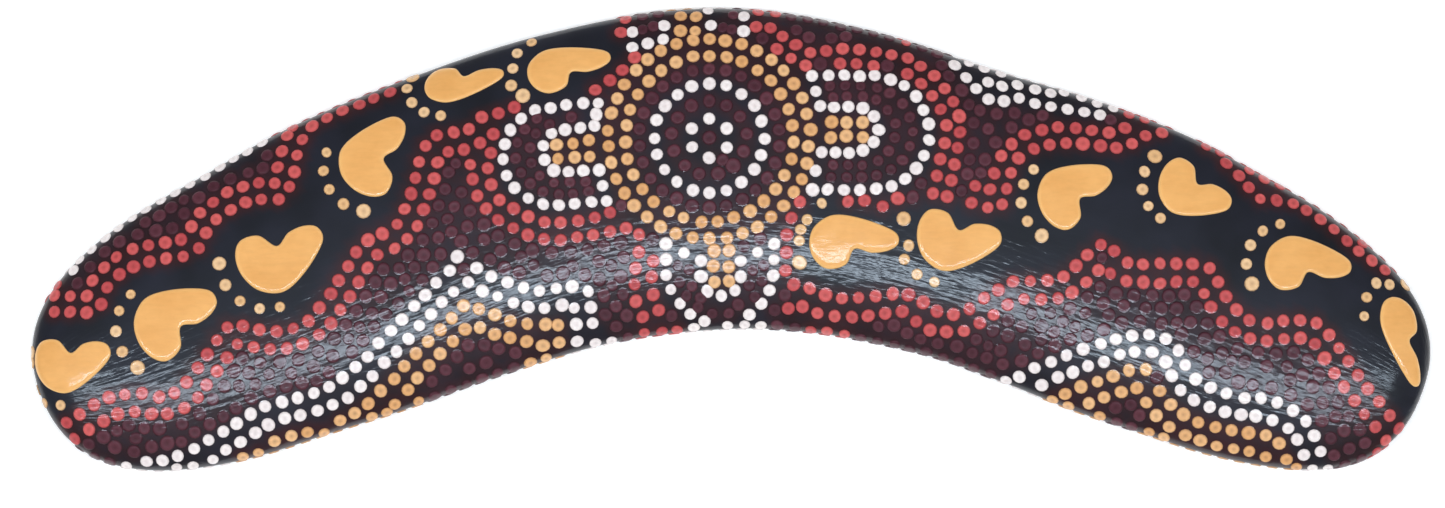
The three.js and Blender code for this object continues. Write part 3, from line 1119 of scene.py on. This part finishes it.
def dot_turn(tree, given):
    """Each dot's own turn, off the skin and then about itself, and its slightly uneven size."""
    chance = []
    for shift, limits in enumerate(((-1.0, 1.0), (-1.0, 1.0), (0.0, 2 * math.pi))):
        seed = add_math(tree, "ADD", given["Seed"], float(shift))
        node = add_node(tree, "FunctionNodeRandomValue", {"Seed": seed}, data_type="FLOAT")
        for name, value in zip(("Min", "Max"), limits):
            socket_of(node.inputs, name, "VALUE").default_value = value
        chance.append(socket_of(node.outputs, "Value", "VALUE"))
    scale = {"Z": 1.0}
    for axis, luck in zip("XY", chance):
        stretch = add_math(tree, "MULTIPLY_ADD", luck, given["Unevenness"], 1.0)
        scale[axis] = add_math(tree, "MULTIPLY", named_value(tree, "radius"), stretch)
    scale = add_node(tree, "ShaderNodeCombineXYZ", scale)
    facing = {"Vector": named_value(tree, "facing", "FLOAT_VECTOR")}
    facing = add_node(tree, "FunctionNodeAlignRotationToVector", facing, axis="Z")
    spin = {"Axis": (0, 0, 1), "Angle": chance[2]}
    spin = add_node(tree, "FunctionNodeAxisAngleToRotation", spin)
    turn = {"Rotation": facing.outputs[0], "Rotate By": spin.outputs[0]}
    turn = add_node(tree, "FunctionNodeRotateRotation", turn, rotation_space="LOCAL")
    return turn.outputs[0], scale.outputs[0]


def lay_on_skin(tree, given, stamped):
    """Drapes the stamped dots over the skin, raises them to their heights, and keeps how the skin
    and the varnish lie at each point."""
    skin = add_node(tree, "GeometryNodeObjectInfo", {"Object": given["Skin"]}).outputs["Geometry"]
    place = add_node(tree, "GeometryNodeInputPosition").outputs[0]
    normal = add_node(tree, "GeometryNodeInputNormal").outputs[0]
    sampled = []
    for field in (place, normal, named_value(tree, "along_blade", "FLOAT_VECTOR")):
        inputs = {"Mesh": skin, "Value": field}
        kind = "GeometryNodeSampleNearestSurface"
        sampled.append(add_node(tree, kind, inputs, data_type="FLOAT_VECTOR").outputs["Value"])
    skin_place, skin_normal, skin_uv = sampled
    shape = store_value(tree, stamped, "along_blade", skin_uv, "FLOAT_VECTOR")
    shape = store_value(tree, shape, "skin_normal", skin_normal, "FLOAT_VECTOR")
    full = add_math(tree, "ADD", given["Relief"], given["Sink"])
    lift = add_math(tree, "MULTIPLY", named_value(tree, "height"), full)
    lift = add_math(tree, "MULTIPLY", add_math(tree, "SUBTRACT", lift, given["Sink"]), MM)
    outward = {0: skin_normal, "Scale": lift}
    outward = add_node(tree, "ShaderNodeVectorMath", outward, operation="SCALE").outputs[0]
    spot = add_math(tree, "ADD", skin_place, outward, kind="ShaderNodeVectorMath")
    draped = add_node(tree, "GeometryNodeSetPosition", {"Geometry": shape, "Position": spot})
    lie = add_node(tree, "ShaderNodeMix", {"Factor": VARNISH_LEVELLING}, data_type="VECTOR")
    join(tree, socket_of(lie.inputs, "A", "VECTOR"), normal)
    level = named_value(tree, "skin_normal", "FLOAT_VECTOR")
    join(tree, socket_of(lie.inputs, "B", "VECTOR"), level)
    lie = socket_of(lie.outputs, "Result", "VECTOR")
    return store_value(tree, draped.outputs[0], "varnish_lie", lie, "FLOAT_VECTOR")


def dot_tree():
    """Stamps a low round dab of paint on each point, and lays it over the skin's curve."""
    tree, given = dot_sockets()
    turn, scale = dot_turn(tree, given)
    dot = one_dot(tree, given["Dimple"])
    stamp = {"Points": given["Points"], "Instance": dot, "Rotation": turn, "Scale": scale}
    stamp = add_node(tree, "GeometryNodeInstanceOnPoints", stamp)
    stamped = add_node(tree, "GeometryNodeRealizeInstances", {0: stamp.outputs[0]}).outputs[0]
    draped = lay_on_skin(tree, given, stamped)
    smooth = add_node(tree, "GeometryNodeSetShadeSmooth", {0: draped}).outputs[0]
    paint = {"Geometry": smooth, "Material": given["Paint"]}
    paint = add_node(tree, "GeometryNodeSetMaterial", paint)
    add_node(tree, "NodeGroupOutput", {0: paint.outputs[0]})
    return tree


def stamped_mesh(name, tree, places, facing, radii, tints, skin, paint, seed):
    """The plain mesh of the dots that the tree stamps on these places."""
    mesh = bpy.data.meshes.new(name + "_points")
    mesh.from_pydata((places * MM).tolist(), [], [])
    add_field(mesh, "facing", facing, "FLOAT_VECTOR")
    add_field(mesh, "radius", radii * MM)
    add_field(mesh, "tint", tints)
    holder = new_object(name + "_points", mesh)
    stamper = holder.modifiers.new("pressed_dots", "NODES")
    stamper.node_group = tree
    inputs = {s.name: s.identifier for s in tree.interface.items_tree if s.in_out == "INPUT"}
    stamper[inputs["Skin"]] = skin
    stamper[inputs["Paint"]] = paint
    stamper[inputs["Seed"]] = seed
    graph = bpy.context.evaluated_depsgraph_get()
    stamped = bpy.data.meshes.new_from_object(
        holder.evaluated_get(graph), preserve_all_data_layers=True, depsgraph=graph
    )
    stamped.name = name
    bpy.data.objects.remove(holder)
    return stamped


def add_toes(toes, tree, skin, chance):
    plan = np.vstack([points for points, _ in toes])
    radii = np.concatenate([sizes for _, sizes in toes]) / 2
    rim = rim_loop(TOE_RIM)
    for k in np.flatnonzero(np.abs(blade_frame(plan)[1]) > TOE_LIMIT):
        plan[k] = rim[distances(rim, plan[k]).argmin()]
    places = np.column_stack([plan, crown_height(plan)])
    facing = crown_normal(plan, places[:, 2])
    tints = chance.uniform(0, 1, len(plan))
    paint = dot_paint("toe_paint", *TOE_LOOK)
    mesh = stamped_mesh("toe_dots", tree, places, facing, radii, tints, skin, paint, 9)
    add_piece("toe_dots", mesh, paint)


def add_dots():
    toes, (side_plan, side_colours) = lay_picture()
    chance = np.random.default_rng(7)
    plan = dots["x_y"] + chance.normal(0, DOT_WANDER, dots["x_y"].shape)
    places = np.column_stack([plan, crown_height(plan)])
    facing = crown_normal(plan, places[:, 2])
    side_places = np.column_stack([side_plan, np.full(len(side_plan), SIDE_HEIGHT)])
    at_rim = np.full(len(side_plan), RIM_HEIGHT + 0.05)
    places = np.vstack([places, side_places])
    facing = np.vstack([facing, crown_normal(side_plan, at_rim)])
    colours = np.r_[dots["colour"], side_colours]
    sizes = np.r_[dots["size"], [DOT_SIZES[c] * SIDE_SIZE for c in side_colours]]

    skin = new_object("blade_skin", blade_solid("blade_skin"))
    tree = dot_tree()
    for seed, (colour, look) in enumerate(DOT_LOOKS.items(), 1):
        name = f"{colour}_dots"
        own = colours == colour
        tints = chance.uniform(0, 1, own.sum())
        radii = sizes[own] / 2 * chance.normal(1, DOT_SIZE_SPREAD, own.sum())
        paint = dot_paint(f"{colour}_dot_paint", *look)
        mesh = stamped_mesh(
            name, tree, places[own], facing[own], radii, tints, skin, paint, seed
        )
        add_piece(name, mesh, paint)
    add_toes(toes, tree, skin, chance)
    bpy.data.objects.remove(skin)


# ---------------------------------------------------------------- camera, lights and floor

LOOK_AT = (-2.3, -4.0, 6.0)
CAMERA_DISTANCE = 1511.0
CAMERA_ELEVATION = 84.0
CAMERA_LENS = 150.0

# Each light's azimuth, elevation, distance, width, depth, power in watts and colour.
DAYLIGHT, WARM = (0.72, 0.86, 1.0), (1.0, 0.94, 0.88)
LIGHTS = {
    "window": (0, 81, 1300, 1850, 90, 10.5, DAYLIGHT),
    "left_fill": (-75, 48, 1200, 700, 700, 3.4, WARM),
    "right_fill": (75, 48, 1200, 700, 700, 3.0, WARM),
    "back_fill": (180, 50, 1200, 900, 600, 3.4, WARM),
    "front_fill": (0, 46, 1200, 900, 500, 3.0, WARM),
}
ROOM_LIGHT = 0.13
FLOOR_GLOW = 0.3
FLOOR_REACH = 4000.0
FLOOR_DROP = 0.4


def toward(azimuth, elevation):
    """The direction of something seen from the boomerang: azimuth 0 is in front of it, at -Y."""
    a, e = math.radians(azimuth), math.radians(elevation)
    return Vector((math.sin(a) * math.cos(e), -math.cos(a) * math.cos(e), math.sin(e)))


def aim(item, azimuth, elevation, distance):
    """Puts a camera or light out there, looking at the boomerang."""
    back = toward(azimuth, elevation)
    item.location = (Vector(LOOK_AT) + back * distance) * MM
    item.rotation_euler = (-back).to_track_quat("-Z", "Y").to_euler()


def add_camera():
    camera = new_object("camera", bpy.data.cameras.new("camera"))
    aim(camera, 0, CAMERA_ELEVATION, CAMERA_DISTANCE)
    camera.data.lens = CAMERA_LENS
    camera.data.sensor_width = 36
    camera.data.clip_start = 0.05
    bpy.context.scene.camera = camera


def soft_light(name, azimuth, elevation, distance, width, depth, power, colour):
    data = bpy.data.lights.new(name, "AREA")
    data.shape = "RECTANGLE"
    data.size, data.size_y = width * MM, depth * MM
    data.energy = power
    data.color = colour
    light = new_object(name, data)
    aim(light, azimuth, elevation, distance)
    light.visible_glossy = name == "window"  # the only one that shows in the varnish


def add_lights():
    for name, settings in LIGHTS.items():
        soft_light(name, *settings)
    world = bpy.data.worlds.new("room")
    world.use_nodes = True
    background = world.node_tree.nodes["Background"]
    background.inputs["Color"].default_value = (1, 1, 1, 1)
    background.inputs["Strength"].default_value = ROOM_LIGHT
    bpy.context.scene.world = world


def add_floor():
    mesh = bpy.data.meshes.new("floor")
    corners = np.array([(-1, -1), (1, -1), (1, 1), (-1, 1)]) * FLOOR_REACH
    mesh.from_pydata([(x * MM, y * MM, -FLOOR_DROP * MM) for x, y in corners], [], [(0, 1, 2, 3)])
    floor = new_object("floor", mesh)
    material, tree, shader = new_material("pale_floor")
    feed(tree, shader, {"Base Color": rgb(252, 252, 252), "Emission Color": WHITE})
    feed(tree, shader, {"Roughness": 0.9, "Specular IOR Level": 0.0, "Emission Strength": FLOOR_GLOW})
    mesh.materials.append(material)


add_camera()
add_lights()
add_floor()
add_soles()
add_dots()
add_coat()
add_bottom_ply()
finish_inner_plies()
bpy.context.scene.view_settings.view_transform = "Standard"
